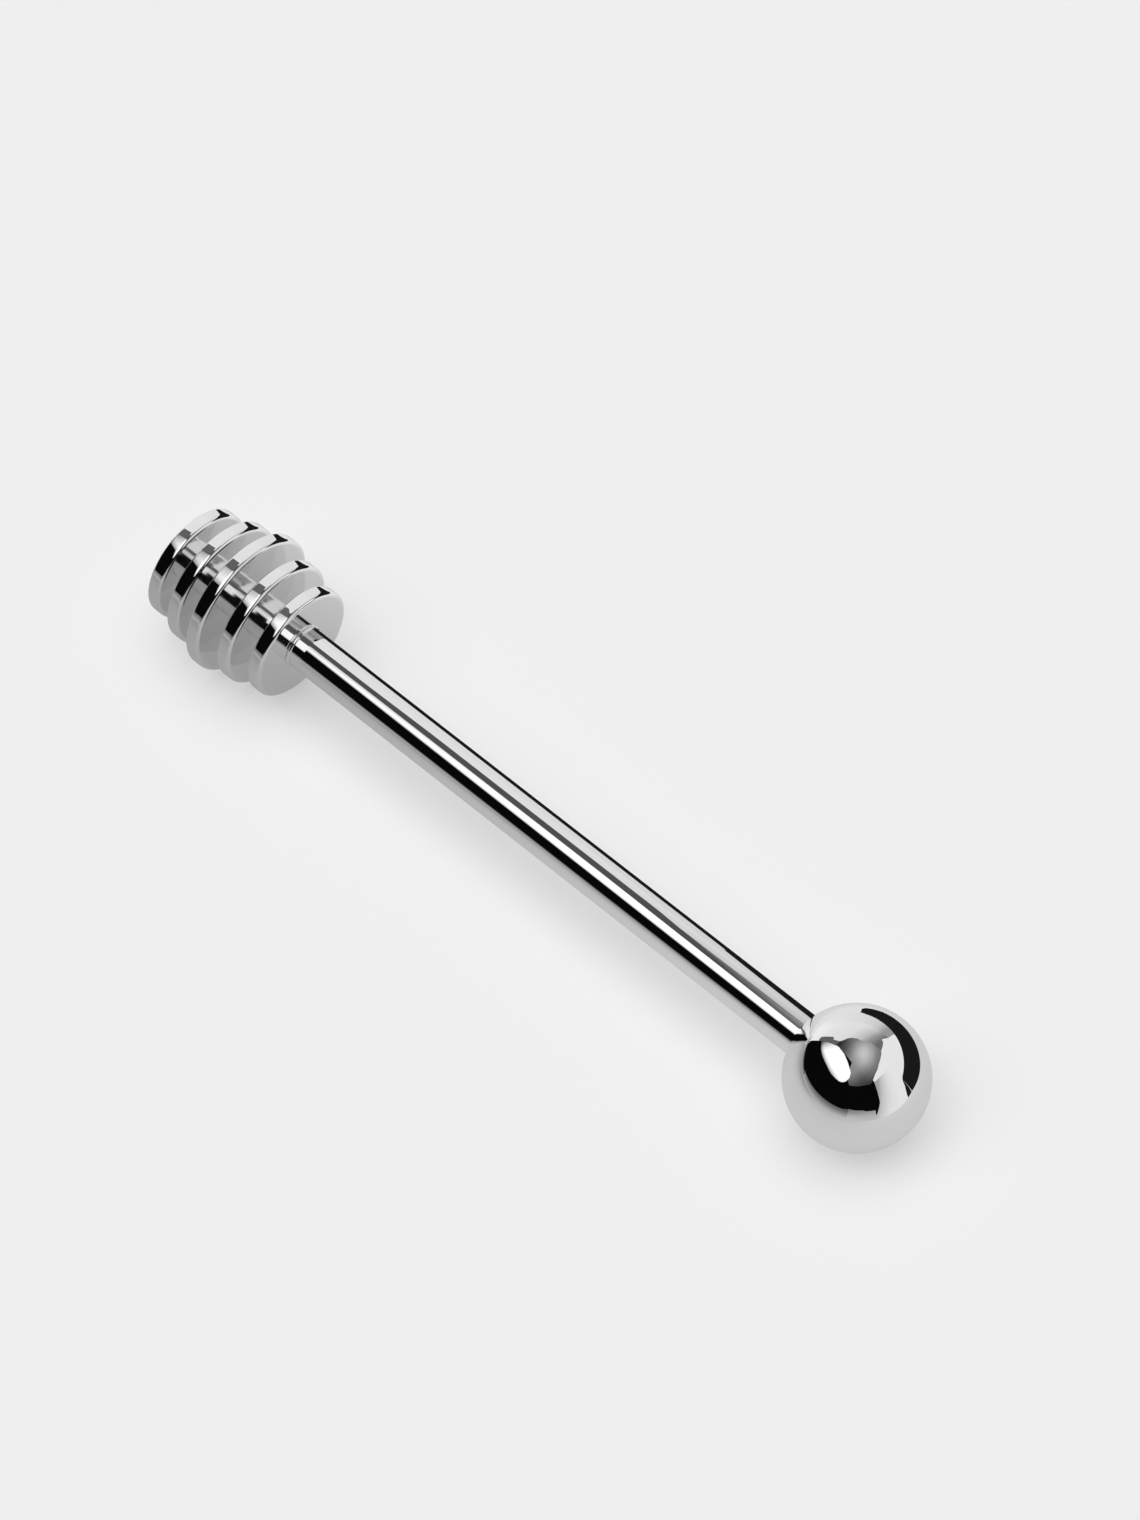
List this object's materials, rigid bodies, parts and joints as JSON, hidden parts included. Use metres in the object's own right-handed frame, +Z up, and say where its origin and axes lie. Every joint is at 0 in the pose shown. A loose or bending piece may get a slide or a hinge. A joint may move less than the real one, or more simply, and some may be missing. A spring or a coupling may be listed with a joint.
{
  "type": "honey dipper",
  "caption": "Metal honey dipper: a grooved head of round discs, barrel-shaped in outline, on a straight round handle that ends in a ball.",
  "frame": {"origin": "middle of the footprint, on the table that the dipper lies on", "axes": "+X along the dipper from the grooved head to the ball, +Z up from the table; the handle's axis lies in the XZ plane and rises 0.61 degrees towards the head, because the dipper rests on its ball and its middle disc"},
  "size_m": [0.1686, 0.028, 0.028],
  "materials": {
    "silver_plate": "polished",
    "bare_brass": "satin"
  },
  "bodies": {
    "root": {"tip_disc": "silver_plate", "disc_2": "silver_plate", "disc_3": "silver_plate", "disc_4": "silver_plate", "disc_5": "silver_plate", "joint_bead": "silver_plate", "handle_tube": "silver_plate", "ball_front_shell": "silver_plate", "ball_back_shell": "silver_plate", "ball_bush": "bare_brass", "tip_peg": "bare_brass"}
  },
  "joints": []
}
